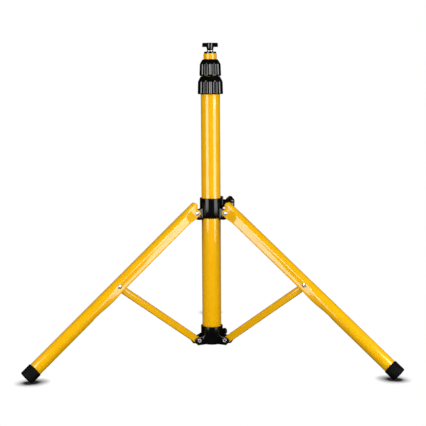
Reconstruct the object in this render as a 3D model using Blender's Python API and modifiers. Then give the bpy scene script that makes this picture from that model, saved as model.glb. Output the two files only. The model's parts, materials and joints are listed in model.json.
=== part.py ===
"""Telescoping tripod stand for a work light.

Three telescoping steel tubes stand on a folding base: each leg hangs from a collar that slides
on the main tube, and a strut ties it to a hub at the tube's foot. Legs and struts are equally
long between their rivets, so the collar rises straight up the tube as the base folds.

Lengths are metres, and MM turns millimetres into them. +Z is up and the floor is z = 0.
"""

import math

import bmesh
import bpy
from mathutils import Matrix, Vector

MM = 0.001
GAP = 0.3 * MM  # between pieces that touch

# Folding base
LINK = 215.5 * MM  # leg pivot to strut rivet, and strut rivet to hub rivet
PIVOT_RADIUS = 35.2 * MM  # of the circle of leg pivots, and of the circle of hub rivets
HUB_PIVOT_Z = 34.7 * MM
SPREAD = math.radians(53.6)  # from the vertical to the line of leg pivot and strut rivet
LEG_ANGLE = math.radians(51.1)  # from the vertical to the leg's centre line
COLLAR_PIVOT_Z = HUB_PIVOT_Z + 2 * LINK * math.cos(SPREAD)
LEG_AZIMUTHS = {1: math.radians(210), 2: math.radians(-30), 3: math.radians(90)}
KNOB_AZIMUTH = math.radians(30)

# Column, from the outside in
MAIN_RADIUS = 19 * MM
MID_RADIUS = 16 * MM
INNER_RADIUS = 13 * MM
MAIN_WALL = 1.2 * MM
MID_WALL = 1.1 * MM
INNER_WALL = 1.0 * MM
MAIN_BOTTOM, MAIN_TOP = 28 * MM, 548 * MM
MID_BOTTOM, MID_TOP = 46 * MM, 582 * MM
INNER_BOTTOM, INNER_TOP = 50 * MM, 603.8 * MM

# Twist locks
LOWER_NUT_BOTTOM, LOWER_NUT_TOP = 524.6 * MM, 559.5 * MM
UPPER_NUT_BOTTOM, UPPER_NUT_TOP = 559.8 * MM, 592.4 * MM
RIB_COUNT = 16

# Hub and collar
HUB_RADIUS, HUB_TOP, HUB_BOTTOM = 22 * MM, 60.5 * MM, 24.5 * MM
COLLAR_RADIUS, COLLAR_TOP, COLLAR_BOTTOM = 22.5 * MM, 319.6 * MM, 279.8 * MM
TONGUE_BOTTOM = 277 * MM
SLIDE_BORE = MAIN_RADIUS + 0.4 * MM

# Legs: a round tube whose upper stretch is pressed into a channel that opens inwards
LEG_RADIUS = 13 * MM
LEG_WALL = 1.5 * MM
PIVOT_OFFSET = 8.3 * MM  # from the leg pivot out to the leg's centre line
LEG_TOP = 11.5 * MM  # the leg's end above its pivot
EAR_RADIUS = 7.2 * MM
EAR_HALF_WIDTH = 6.4 * MM  # across the crimped ears at the leg pivot
CHANNEL_HALF_WIDTH = 10.5 * MM
CHANNEL_EDGE = 2.5 * MM  # how far the channel's walls reach in beyond the pivot's line
CHANNEL_END = 85 * MM  # below the strut rivet
ROUNDING_START, ROUNDING_END = LINK + 5 * MM, LINK + 78 * MM  # from channel to round tube
FOOT_RADIUS, FOOT_LENGTH, FOOT_FLOOR = 14.4 * MM, 22.5 * MM, 3.7 * MM
FOOT_FLAT = 1.0 * MM  # how deep the floor flattens the foot's rim

# Struts: a channel with a rounded back
STRUT_HALF_WIDTH = 7.0 * MM
STRUT_RADIUS = 7.0 * MM  # half the strut's depth, and its round end at the hub
STRUT_EAR = 6.2 * MM  # half width and end radius where the strut is crimped inside the leg
STRUT_WALL = 1.5 * MM

# Rivets
RIVET_RADIUS, RIVET_BORE = 3.2 * MM, 1.7 * MM
RIVET_HOLE = RIVET_RADIUS + GAP
RIVET_HEAD_RADIUS, RIVET_HEAD = 4.4 * MM, 1.2 * MM
TONGUE_HALF_WIDTH = 4.5 * MM
HUB_EAR_INNER, HUB_EAR_OUTER = 7.5 * MM, 10.9 * MM

# Clamp knob on the collar
CLAMP_Z = 307 * MM
CLAMP_SCREW_RADIUS = 3.8 * MM
CLAMP_KNOB_RADIUS = 13.3 * MM
CLAMP_KNOB_START, CLAMP_KNOB_END = 40 * MM, 49 * MM  # from the column's axis
CLAMP_BOSS_END = 38.5 * MM
CLAMP_LOBES = 6

# Screw that pins the hub to the main tube
HUB_SCREW_Z = 44 * MM
HUB_SCREW_RADIUS = 6.2 * MM
HUB_SCREW_HEAD_START, HUB_SCREW_HEAD_END = 27.5 * MM, 33.5 * MM

# Lamp fitting at the top of the column
PLUG_TOP = 607.3 * MM
INSERT_TOP = 609.3 * MM
TOP_KNOB_BOTTOM, TOP_KNOB_TOP = 609.6 * MM, 624.5 * MM
STUD_RADIUS = 3.9 * MM

LEG_DOWN = Vector((math.sin(LEG_ANGLE), 0, -math.cos(LEG_ANGLE)))
LEG_OUT = Vector((math.cos(LEG_ANGLE), 0, math.sin(LEG_ANGLE)))
LEG_PIVOT = Vector((PIVOT_RADIUS, 0, COLLAR_PIVOT_Z))
HUB_PIVOT = Vector((PIVOT_RADIUS, 0, HUB_PIVOT_Z))
STRUT_PIVOT = (LEG_PIVOT + HUB_PIVOT) / 2 + Vector((LINK * math.sin(SPREAD), 0, 0))

# The foot's rounded rim touches down where the leg's centre line ends this high
FOOT_RIM_RADIUS = FOOT_RADIUS - 1.0 * MM
FOOT_END_Z = FOOT_RIM_RADIUS * math.sin(LEG_ANGLE) - FOOT_FLAT
LEG_LENGTH = ((LEG_PIVOT + PIVOT_OFFSET * LEG_OUT).z - FOOT_END_Z) / math.cos(LEG_ANGLE)
FOOT_END = LEG_PIVOT + PIVOT_OFFSET * LEG_OUT + LEG_LENGTH * LEG_DOWN

# Two feet stand in front of the column and one behind, so the column stands behind the
# middle of the footprint by half the difference of their reaches
REAR_REACH = FOOT_END.x + FOOT_RADIUS * math.cos(LEG_ANGLE)
FRONT_REACH = 0.5 * FOOT_END.x + FOOT_RADIUS * math.sqrt(1 - (0.5 * math.sin(LEG_ANGLE)) ** 2)
AXIS_Y = -(REAR_REACH - FRONT_REACH) / 2

# Colour, roughness, metallic
YELLOW_PAINT = ((0.90, 0.55, 0.02), 0.28, 0.0)
BLACK_PLASTIC = ((0.012, 0.012, 0.013), 0.32, 0.0)
BLACK_RUBBER = ((0.015, 0.015, 0.015), 0.7, 0.0)
WHITE_NYLON = ((0.75, 0.74, 0.70), 0.45, 0.0)
ZINC_STEEL = ((0.62, 0.62, 0.63), 0.3, 1.0)
BRASS = ((0.70, 0.52, 0.22), 0.3, 1.0)


# ---------------------------------------------------------------- scene and object helpers


def clear_scene():
    for old in list(bpy.data.objects):
        bpy.data.objects.remove(old, do_unlink=True)


def new_collection(name):
    made = bpy.data.collections.new(name)
    bpy.context.scene.collection.children.link(made)
    return made


def principled(name, finish):
    colour, roughness, metallic = finish
    material = bpy.data.materials.new(name)
    material.use_nodes = True
    shader = material.node_tree.nodes["Principled BSDF"]
    shader.inputs["Base Color"].default_value = (*colour, 1)
    shader.inputs["Roughness"].default_value = roughness
    shader.inputs["Metallic"].default_value = metallic
    return material


def empty(name, parent=None, location=(0, 0, 0), turn_z=0.0, turn_y=0.0):
    made = bpy.data.objects.new(name, None)
    made.location = location
    made.rotation_euler = (0, turn_y, turn_z)
    made.parent = parent
    PARTS.objects.link(made)
    return made


def add_part(name, mesh, finish, parent, smooth_angle=35):
    mesh.shade_smooth()
    mesh.set_sharp_from_angle(angle=math.radians(smooth_angle))
    mesh.materials.append(principled(name, finish))
    made = bpy.data.objects.new(name, mesh)
    made.parent = parent
    PARTS.objects.link(made)
    return made


def add_tool(name, mesh, parent):
    made = bpy.data.objects.new(name, mesh)
    made.parent = parent
    made.hide_render = True
    made.display_type = "WIRE"
    TOOLS.objects.link(made)
    return made


def combine(target, operation, name, mesh):
    """Boolean a hidden tool, in the target's own axes, with the target."""
    tool = add_tool(name, mesh, target)
    modifier = target.modifiers.new(name, "BOOLEAN")
    modifier.operation = operation
    modifier.object = tool
    modifier.solver = "EXACT"


def evaluated_mesh(made):
    """The mesh of an object with its modifiers applied, and the object itself removed."""
    graph = bpy.context.evaluated_depsgraph_get()
    mesh = bpy.data.meshes.new_from_object(made.evaluated_get(graph))
    bpy.data.objects.remove(made, do_unlink=True)
    return mesh


# ---------------------------------------------------------------- mesh helpers


def mesh_from(work, name="mesh"):
    mesh = bpy.data.meshes.new(name)
    work.to_mesh(mesh)
    work.free()
    return mesh


def turned_mesh(profile, segments=48, closed=False):
    """A profile of (radius, height) points turned about Z. The outer side runs downwards."""
    work = bmesh.new()
    points = [work.verts.new((radius, 0, height)) for radius, height in profile]
    pairs = list(zip(points, points[1:])) + ([(points[-1], points[0])] if closed else [])
    for pair in pairs:
        work.edges.new(pair)
    made = bpy.data.objects.new("turned", mesh_from(work))
    bpy.context.scene.collection.objects.link(made)
    screw = made.modifiers.new("Screw", "SCREW")
    screw.axis = "Z"
    screw.steps = screw.render_steps = segments
    screw.use_merge_vertices = True
    screw.merge_threshold = 1e-6
    return evaluated_mesh(made)


def ring_profile(outer, inner, bottom, top):
    return [(outer, top), (outer, bottom), (inner, bottom), (inner, top)]


def cylinder_mesh(radius, start, end, axis="Z", segments=16):
    """A cylinder from start to end along an axis of its object."""
    work = bmesh.new()
    bmesh.ops.create_cone(
        work, cap_ends=True, segments=segments, radius1=radius, radius2=radius, depth=end - start
    )
    bmesh.ops.translate(work, verts=work.verts, vec=(0, 0, (start + end) / 2))
    half_step = Matrix.Rotation(math.pi / segments, 3, "Z")
    bmesh.ops.rotate(work, verts=work.verts, matrix=half_step)
    turn = {"X": (math.radians(90), "Y"), "Y": (math.radians(-90), "X"), "Z": (0, "Z")}[axis]
    bmesh.ops.rotate(work, verts=work.verts, matrix=Matrix.Rotation(turn[0], 3, turn[1]))
    return mesh_from(work)


def box_mesh(low, high, bevel=0.0, bevel_segments=2):
    work = bmesh.new()
    bmesh.ops.create_cube(work, size=1)
    size = [b - a for a, b in zip(low, high)]
    bmesh.ops.scale(work, verts=work.verts, vec=size)
    bmesh.ops.translate(work, verts=work.verts, vec=[(a + b) / 2 for a, b in zip(low, high)])
    if bevel:
        bmesh.ops.bevel(
            work,
            geom=work.edges[:],
            offset=bevel,
            segments=bevel_segments,
            affect="EDGES",
            profile=0.5,
        )
    return mesh_from(work)


def plate_mesh(outline, low_y, high_y):
    """A flat outline of (x, z) points, from low_y to high_y thick."""
    curve = bpy.data.curves.new("outline", "CURVE")
    curve.dimensions = "2D"
    curve.fill_mode = "BOTH"
    curve.extrude = (high_y - low_y) / 2
    spline = curve.splines.new("POLY")
    spline.points.add(len(outline) - 1)
    for point, (x, z) in zip(spline.points, outline):
        point.co = (x, z, 0, 1)
    spline.use_cyclic_u = True
    made = bpy.data.objects.new("outline", curve)
    bpy.context.scene.collection.objects.link(made)
    mesh = evaluated_mesh(made)
    work = bmesh.new()
    work.from_mesh(mesh)
    bmesh.ops.remove_doubles(work, verts=work.verts, dist=1e-6)
    bmesh.ops.rotate(work, verts=work.verts, matrix=Matrix.Rotation(math.radians(90), 3, "X"))
    bmesh.ops.translate(work, verts=work.verts, vec=(0, (low_y + high_y) / 2, 0))
    return mesh_from(work)


def loft_mesh(sections):
    """A closed skin through equally long rings of points, capped at both ends."""
    work = bmesh.new()
    rings = [[work.verts.new(point) for point in section] for section in sections]
    count = len(rings[0])
    for below, above in zip(rings, rings[1:]):
        for i in range(count):
            j = (i + 1) % count
            work.faces.new((below[i], below[j], above[j], above[i]))
    work.faces.new(rings[0])
    work.faces.new(rings[-1])
    bmesh.ops.recalc_face_normals(work, faces=work.faces)
    return mesh_from(work)


def arc(centre, radius, start, end, steps):
    """Points of a circular arc, from one angle in degrees to another."""
    angles = [math.radians(start + (end - start) * i / steps) for i in range(steps + 1)]
    return [(centre[0] + radius * math.cos(a), centre[1] + radius * math.sin(a)) for a in angles]


# ---------------------------------------------------------------- column


def add_tube(name, radius, wall, bottom, top, parent, segments=48):
    mesh = turned_mesh(ring_profile(radius, radius - wall, bottom, top), segments, closed=True)
    return add_part(name, mesh, YELLOW_PAINT, parent)


def dimple_inner_tube(tube):
    """Four punched dimples keep the top plug in the inner tube."""
    depth, radius = 0.5 * MM, 2.2 * MM
    for index in range(4):
        angle = math.radians(45 + 90 * index)
        reach = INNER_RADIUS - depth + radius
        work = bmesh.new()
        bmesh.ops.create_uvsphere(work, u_segments=8, v_segments=6, radius=radius)
        place = (reach * math.cos(angle), reach * math.sin(angle), 598 * MM)
        bmesh.ops.translate(work, verts=work.verts, vec=place)
        combine(tube, "DIFFERENCE", f"inner_tube_dimple_{index}", mesh_from(work))


def add_base_plug(parent):
    """A cup pressed into the main tube's foot, with a button that shows under the hub."""
    inside = MAIN_RADIUS - MAIN_WALL - GAP
    profile = [
        (0, MAIN_BOTTOM + 4 * MM),
        (inside - 2 * MM, MAIN_BOTTOM + 4 * MM),
        (inside - 2 * MM, MAIN_BOTTOM + 14 * MM),
        (inside, MAIN_BOTTOM + 14 * MM),
        (inside, MAIN_BOTTOM + 0.5 * MM),
        (14.6 * MM, MAIN_BOTTOM + 0.5 * MM),
        (14.6 * MM, HUB_BOTTOM),
        (0, HUB_BOTTOM),
    ]
    add_part("base_plug", turned_mesh(profile, 32), BLACK_PLASTIC, parent)


def add_guide_bush(name, tube_radius, bore_radius, bottom, parent):
    """The nylon ring round an inner tube's foot that runs in the tube outside it."""
    profile = ring_profile(bore_radius - GAP, tube_radius + GAP, bottom, bottom + 20 * MM)
    add_part(name, turned_mesh(profile, 32, closed=True), WHITE_NYLON, parent)


def add_collet(name, tube_radius, bore_radius, thread_radius, tube_top, parent):
    """A threaded sleeve on a tube's top whose split, tapered fingers grip the next tube."""
    sleeve_bottom = tube_top - 18 * MM
    pitch, thread_depth = 4 * MM, 0.6 * MM
    sleeve_radius = thread_radius - thread_depth
    finger_top = tube_top + 8.5 * MM
    outer = [(bore_radius + 1.9 * MM, finger_top), (sleeve_radius, tube_top + 1.5 * MM)]
    for index in range(4):
        crest = tube_top - (0.5 + index) * pitch
        outer += [(thread_radius, crest), (sleeve_radius, crest - pitch / 2)]
    outer += [(sleeve_radius, sleeve_bottom)]
    inner = [
        (tube_radius + GAP, sleeve_bottom),
        (tube_radius + GAP, tube_top + GAP),
        (bore_radius + GAP, tube_top + GAP),
        (bore_radius + GAP, finger_top),
    ]
    sleeve = add_part(name, turned_mesh(outer + inner, 32, closed=True), WHITE_NYLON, parent)
    for index in range(3):
        slit = box_mesh(
            (-30 * MM, -0.8 * MM, tube_top + 2.5 * MM), (30 * MM, 0.8 * MM, finger_top + 1 * MM)
        )
        slit.transform(Matrix.Rotation(math.radians(10 + 60 * index), 4, "Z"))
        combine(sleeve, "DIFFERENCE", f"{name}_slit_{index}", slit)


def press_ribs(mesh, segments_per_rib, depth, low, high, beyond):
    """Sink every third row of points of a turned nut's outside, which leaves ribs."""
    segments = segments_per_rib * RIB_COUNT
    for vertex in mesh.vertices:
        radius = math.hypot(vertex.co.x, vertex.co.y)
        row = round(math.atan2(vertex.co.y, vertex.co.x) / (2 * math.pi) * segments)
        if radius > beyond and low < vertex.co.z < high and row % segments_per_rib == 0:
            shrink = (radius - depth) / radius
            vertex.co.x *= shrink
            vertex.co.y *= shrink


def add_twist_nut(name, outside, inside, rib_depth, rib_low, rib_high, beyond, parent):
    mesh = turned_mesh(outside + inside, 3 * RIB_COUNT, closed=True)
    press_ribs(mesh, 3, rib_depth, rib_low, rib_high, beyond)
    add_part(name, mesh, BLACK_PLASTIC, parent, smooth_angle=25)


def add_lower_nut(parent):
    top, bottom = LOWER_NUT_TOP, LOWER_NUT_BOTTOM
    outside = [
        (18.2 * MM, top),
        (19.4 * MM, top - 1 * MM),
        (23.1 * MM, top - 8 * MM),
        (24.5 * MM, top - 11.5 * MM),
        (25.2 * MM, bottom + 2 * MM),
        (24.3 * MM, bottom),
    ]
    inside = [
        (21.4 * MM, bottom),
        (21.4 * MM, MAIN_TOP + 1.5 * MM),
        (18.6 * MM, MAIN_TOP + 9 * MM),
        (MID_RADIUS + 0.5 * MM, MAIN_TOP + 9.3 * MM),
        (MID_RADIUS + 0.5 * MM, top),
    ]
    low, high = bottom + 1 * MM, top - 10 * MM
    add_twist_nut("lower_twist_nut", outside, inside, 1.6 * MM, low, high, 23 * MM, parent)


def add_upper_nut(parent):
    top, bottom = UPPER_NUT_TOP, UPPER_NUT_BOTTOM
    outside = [
        (14.6 * MM, top),
        (15.5 * MM, top - 0.9 * MM),
        (19.1 * MM, top - 6.5 * MM),
        (20.6 * MM, top - 9.1 * MM),
        (21.5 * MM, bottom + 3.2 * MM),
        (20.0 * MM, bottom),
    ]
    inside = [
        (18.2 * MM, bottom),
        (18.2 * MM, MID_TOP + 1.5 * MM),
        (15.6 * MM, MID_TOP + 8.9 * MM),
        (INNER_RADIUS + 0.5 * MM, MID_TOP + 9.2 * MM),
        (INNER_RADIUS + 0.5 * MM, top),
    ]
    low, high = bottom + 1 * MM, top - 8 * MM
    add_twist_nut("upper_twist_nut", outside, inside, 1.2 * MM, low, high, 20.2 * MM, parent)


def add_top_fitting(parent):
    """The plug, threaded insert, stud and wing knob that hold a lamp's bracket."""
    inside = INNER_RADIUS - INNER_WALL
    plug = [
        (11.4 * MM, PLUG_TOP),
        (12 * MM, PLUG_TOP - 0.6 * MM),
        (12 * MM, INNER_TOP + GAP),
        (inside - 0.6 * MM, INNER_TOP + GAP),
        (inside - 0.6 * MM, INNER_TOP - 18 * MM),
        (6 * MM, INNER_TOP - 18 * MM),
        (6 * MM, PLUG_TOP),
    ]
    add_part("top_plug", turned_mesh(plug, 32, closed=True), BLACK_PLASTIC, parent)
    insert = [
        (5.6 * MM, INSERT_TOP),
        (6.6 * MM, INSERT_TOP - 0.8 * MM),
        (6.6 * MM, PLUG_TOP + GAP),
        (5.7 * MM, PLUG_TOP + GAP),
        (5.7 * MM, INNER_TOP - 17 * MM),
        (STUD_RADIUS + GAP, INNER_TOP - 17 * MM),
        (STUD_RADIUS + GAP, INSERT_TOP),
    ]
    add_part("top_thread_insert", turned_mesh(insert, 24, closed=True), ZINC_STEEL, parent)
    stud = [
        (0, TOP_KNOB_TOP - 3 * MM),
        (STUD_RADIUS, TOP_KNOB_TOP - 3 * MM),
        (STUD_RADIUS, INNER_TOP - 14 * MM),
        (STUD_RADIUS - 0.8 * MM, INNER_TOP - 15 * MM),
        (0, INNER_TOP - 15 * MM),
    ]
    add_part("top_knob_stud", turned_mesh(stud, 16), ZINC_STEEL, parent)
    hub = [
        (0, TOP_KNOB_TOP),
        (6.9 * MM, TOP_KNOB_TOP),
        (7.6 * MM, TOP_KNOB_TOP - 0.7 * MM),
        (7.2 * MM, TOP_KNOB_TOP - 8.2 * MM),
        (6 * MM, TOP_KNOB_BOTTOM),
        (0, TOP_KNOB_BOTTOM),
    ]
    knob = add_part("top_wing_knob", turned_mesh(hub, 24), BLACK_PLASTIC, parent)
    wings = box_mesh(
        (-15.5 * MM, -4.5 * MM, TOP_KNOB_TOP - 8.2 * MM), (15.5 * MM, 4.5 * MM, TOP_KNOB_TOP), 1.5 * MM
    )
    combine(knob, "UNION", "top_knob_wings", wings)
    bore = cylinder_mesh(
        STUD_RADIUS + GAP, TOP_KNOB_BOTTOM - 1 * MM, TOP_KNOB_TOP - 3 * MM + GAP, segments=16
    )
    combine(knob, "DIFFERENCE", "top_knob_bore", bore)


# ---------------------------------------------------------------- hub and collar


def add_hub(parent):
    """A ring on the main tube's foot with three pairs of ears, each over a stop plate."""
    ring = [
        (HUB_RADIUS - 1 * MM, HUB_TOP),
        (HUB_RADIUS, HUB_TOP - 1 * MM),
        (HUB_RADIUS, HUB_BOTTOM),
        (15 * MM, HUB_BOTTOM),
        (15 * MM, MAIN_BOTTOM - GAP),
        (MAIN_RADIUS + GAP, MAIN_BOTTOM - GAP),
        (MAIN_RADIUS + GAP, HUB_TOP),
    ]
    hub = add_part("hub", turned_mesh(ring, 48, closed=True), BLACK_PLASTIC, parent)
    root = 20.5 * MM
    ear = [
        (root, HUB_BOTTOM + 0.5 * MM),
        (35.5 * MM, HUB_BOTTOM + 0.8 * MM),
        (43.4 * MM, 31 * MM),
        (43.4 * MM, 39.5 * MM),
        (38.5 * MM, 43 * MM),
        (root, 46 * MM),
    ]
    stop = [
        (root, HUB_BOTTOM + 0.6 * MM),
        (35.4 * MM, HUB_BOTTOM + 0.7 * MM),
        (38 * MM, 27.2 * MM),
        (root, 27.2 * MM),
    ]
    for number, azimuth in LEG_AZIMUTHS.items():
        turn = Matrix.Rotation(azimuth, 4, "Z")
        for side, low, high in (("a", -HUB_EAR_OUTER, -HUB_EAR_INNER), ("b", HUB_EAR_INNER, HUB_EAR_OUTER)):
            mesh = plate_mesh(ear, low, high)
            mesh.transform(turn)
            combine(hub, "UNION", f"hub_ear_{number}{side}", mesh)
        mesh = plate_mesh(stop, -HUB_EAR_INNER - 1 * MM, HUB_EAR_INNER + 1 * MM)
        mesh.transform(turn)
        combine(hub, "UNION", f"hub_stop_{number}", mesh)
        hole = cylinder_mesh(RIVET_HOLE, -12 * MM, 12 * MM, "Y", 12)
        hole.transform(turn @ Matrix.Translation(HUB_PIVOT))
        combine(hub, "DIFFERENCE", f"hub_rivet_hole_{number}", hole)
    turn = Matrix.Rotation(KNOB_AZIMUTH, 4, "Z") @ Matrix.Translation((0, 0, HUB_SCREW_Z))
    boss = cylinder_mesh(4.6 * MM, 20.5 * MM, HUB_SCREW_HEAD_START - GAP, "X", 16)
    boss.transform(turn)
    combine(hub, "UNION", "hub_screw_boss", boss)
    hole = cylinder_mesh(3.1 * MM, 17 * MM, 30 * MM, "X", 12)
    hole.transform(turn)
    combine(hub, "DIFFERENCE", "hub_screw_hole", hole)


def along_knob_axis(height):
    """Turns a shape made along Z onto the knobs' azimuth, at a height of the column."""
    turn = Matrix.Rotation(KNOB_AZIMUTH, 4, "Z") @ Matrix.Translation((0, 0, height))
    return turn @ Matrix.Rotation(math.radians(90), 4, "Y")


def add_hub_screw(parent):
    start, end = HUB_SCREW_HEAD_START, HUB_SCREW_HEAD_END
    profile = [
        (0, end),
        (HUB_SCREW_RADIUS - 1.2 * MM, end),
        (HUB_SCREW_RADIUS, end - 1.2 * MM),
        (HUB_SCREW_RADIUS, start),
        (2.8 * MM, start),
        (2.8 * MM, MAIN_RADIUS + GAP),
        (0, MAIN_RADIUS + GAP),
    ]
    mesh = turned_mesh(profile, 20)
    mesh.transform(along_knob_axis(HUB_SCREW_Z))
    add_part("hub_screw", mesh, BLACK_PLASTIC, parent)


def add_collar(parent):
    """The sliding ring: three tongues for the legs and a boss for the clamp screw."""
    ring = [
        (COLLAR_RADIUS - 1 * MM, COLLAR_TOP),
        (COLLAR_RADIUS, COLLAR_TOP - 1 * MM),
        (COLLAR_RADIUS, COLLAR_BOTTOM),
        (SLIDE_BORE, COLLAR_BOTTOM),
        (SLIDE_BORE, COLLAR_TOP),
    ]
    collar = add_part("leg_collar", turned_mesh(ring, 48, closed=True), BLACK_PLASTIC, parent)
    root = 21 * MM
    tongue_end = arc((LEG_PIVOT.x, LEG_PIVOT.z), 6.6 * MM, -45, 110, 6)
    tongue = [(root, TONGUE_BOTTOM), (31 * MM, TONGUE_BOTTOM), *tongue_end, (root, 300 * MM)]
    for number, azimuth in LEG_AZIMUTHS.items():
        turn = Matrix.Rotation(azimuth, 4, "Z")
        mesh = plate_mesh(tongue, -TONGUE_HALF_WIDTH, TONGUE_HALF_WIDTH)
        mesh.transform(turn)
        combine(collar, "UNION", f"collar_tongue_{number}", mesh)
        hole = cylinder_mesh(RIVET_HOLE, -12 * MM, 12 * MM, "Y", 12)
        hole.transform(turn @ Matrix.Translation(LEG_PIVOT))
        combine(collar, "DIFFERENCE", f"collar_rivet_hole_{number}", hole)
    turn = Matrix.Rotation(KNOB_AZIMUTH, 4, "Z")
    pad = box_mesh(
        (20.3 * MM, -8 * MM, 298 * MM), (24.3 * MM, 8 * MM, COLLAR_TOP + 2.2 * MM), 0.8 * MM, 1
    )
    pad.transform(turn)
    combine(collar, "UNION", "collar_pad", pad)
    boss = box_mesh(
        (22 * MM, -6.8 * MM, CLAMP_Z - 7.6 * MM),
        (CLAMP_BOSS_END, 6.8 * MM, CLAMP_Z + 6.8 * MM),
        1.2 * MM,
        1,
    )
    boss.transform(turn)
    combine(collar, "UNION", "collar_boss", boss)
    turn = turn @ Matrix.Translation((0, 0, CLAMP_Z))
    bores = (("pad", CLAMP_SCREW_RADIUS + GAP, 17 * MM, 30 * MM), ("insert", 5.6 * MM, 27 * MM, 40 * MM))
    for name, radius, start, end in bores:
        bore = cylinder_mesh(radius, start, end, "X", 16)
        bore.transform(turn)
        combine(collar, "DIFFERENCE", f"collar_{name}_bore", bore)


def add_clamp(collar_axis, knob_axis):
    """The screw that locks the collar: lobed knob, stud, brass insert and pressure pad."""
    along = along_knob_axis(CLAMP_Z)
    insert = ring_profile(5.3 * MM, CLAMP_SCREW_RADIUS + GAP, 27.3 * MM, CLAMP_BOSS_END)
    mesh = turned_mesh(insert, 16, closed=True)
    mesh.transform(along)
    add_part("clamp_insert", mesh, BRASS, collar_axis)
    shoe = cylinder_mesh(CLAMP_SCREW_RADIUS, MAIN_RADIUS + 0.35 * MM, 21.4 * MM, segments=16)
    shoe.transform(along)
    add_part("clamp_shoe", shoe, WHITE_NYLON, collar_axis)

    # The knob's own empty lies on the screw's axis, with its Z along it
    screw = cylinder_mesh(CLAMP_SCREW_RADIUS, 21.7 * MM, CLAMP_KNOB_END - 2 * MM, segments=16)
    add_part("clamp_screw", screw, ZINC_STEEL, knob_axis)
    start, end = CLAMP_KNOB_START, CLAMP_KNOB_END
    profile = [
        (0, end),
        (9.5 * MM, end),
        (11.6 * MM, end - 0.8 * MM),
        (CLAMP_KNOB_RADIUS, end - 2.4 * MM),
        (CLAMP_KNOB_RADIUS, start + 2 * MM),
        (11 * MM, start + 0.6 * MM),
        (6.2 * MM, start + 0.6 * MM),
        (6 * MM, CLAMP_BOSS_END + GAP),
        (0, CLAMP_BOSS_END + GAP),
    ]
    mesh = turned_mesh(profile, 4 * CLAMP_LOBES)
    for vertex in mesh.vertices:
        radius = math.hypot(vertex.co.x, vertex.co.y)
        if radius > 9 * MM:
            dip = 0.5 - 0.5 * math.cos(CLAMP_LOBES * math.atan2(vertex.co.y, vertex.co.x))
            shrink = (radius - 1.6 * MM * dip) / radius
            vertex.co.x *= shrink
            vertex.co.y *= shrink
    knob = add_part("clamp_knob", mesh, BLACK_PLASTIC, knob_axis)
    bore = cylinder_mesh(CLAMP_SCREW_RADIUS + GAP, 36 * MM, end - 2 * MM + GAP, segments=16)
    combine(knob, "DIFFERENCE", "clamp_knob_bore", bore)


# ---------------------------------------------------------------- legs and struts


def blend(low, high, position):
    """0 at low, 1 at high, and smooth between."""
    share = min(max((position - low) / (high - low), 0), 1)
    return share * share * (3 - 2 * share)


def leg_section(down, inset, corners=20):
    """One ring of a leg's skin, at a distance below its pivot and an inset from the outside.

    The leg's axes: X outwards from the pivot, Z up along the leg. The outer half is round.
    The inner half is square in the channel and round in the lower tube, and the ears at the
    pivot are narrower and reach further in. The flat sides run out gradually below the strut.
    """
    widened = blend(5 * MM, 30 * MM, down)
    run_out = min(max((down - ROUNDING_START) / (ROUNDING_END - ROUNDING_START), 0), 1)
    rounded = 1 - (1 - run_out) ** 3
    half = EAR_HALF_WIDTH + (CHANNEL_HALF_WIDTH - EAR_HALF_WIDTH) * widened
    half += (LEG_RADIUS - CHANNEL_HALF_WIDTH) * rounded
    crown = PIVOT_OFFSET + LEG_RADIUS
    centre = crown - half
    inner_edge = -EAR_RADIUS + (EAR_RADIUS - CHANNEL_EDGE) * blend(5 * MM, 30 * MM, down)
    inner_edge += (PIVOT_OFFSET - LEG_RADIUS + CHANNEL_EDGE) * rounded
    depth = centre - inner_edge - inset
    half -= inset
    ring = []
    for index in range(corners):
        angle = 2 * math.pi * index / corners
        x, y = math.cos(angle), math.sin(angle)
        if x < 0:
            square = max(abs(x), abs(y))
            square += (1 - square) * rounded
            x *= depth / square
            y *= half / square
        else:
            x *= half
            y *= half
        ring.append((centre + x, y, -down))
    return ring


def tapering_slot(half_width, start, taper, end, end_radius):
    """The outline of a slot that narrows to a round lower end, as (y, z) points."""
    lower = arc((0, end + end_radius), end_radius, 190, 350, 7)
    return [(half_width, start), (-half_width, start), (-half_width, taper), *lower, (half_width, taper)]


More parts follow.
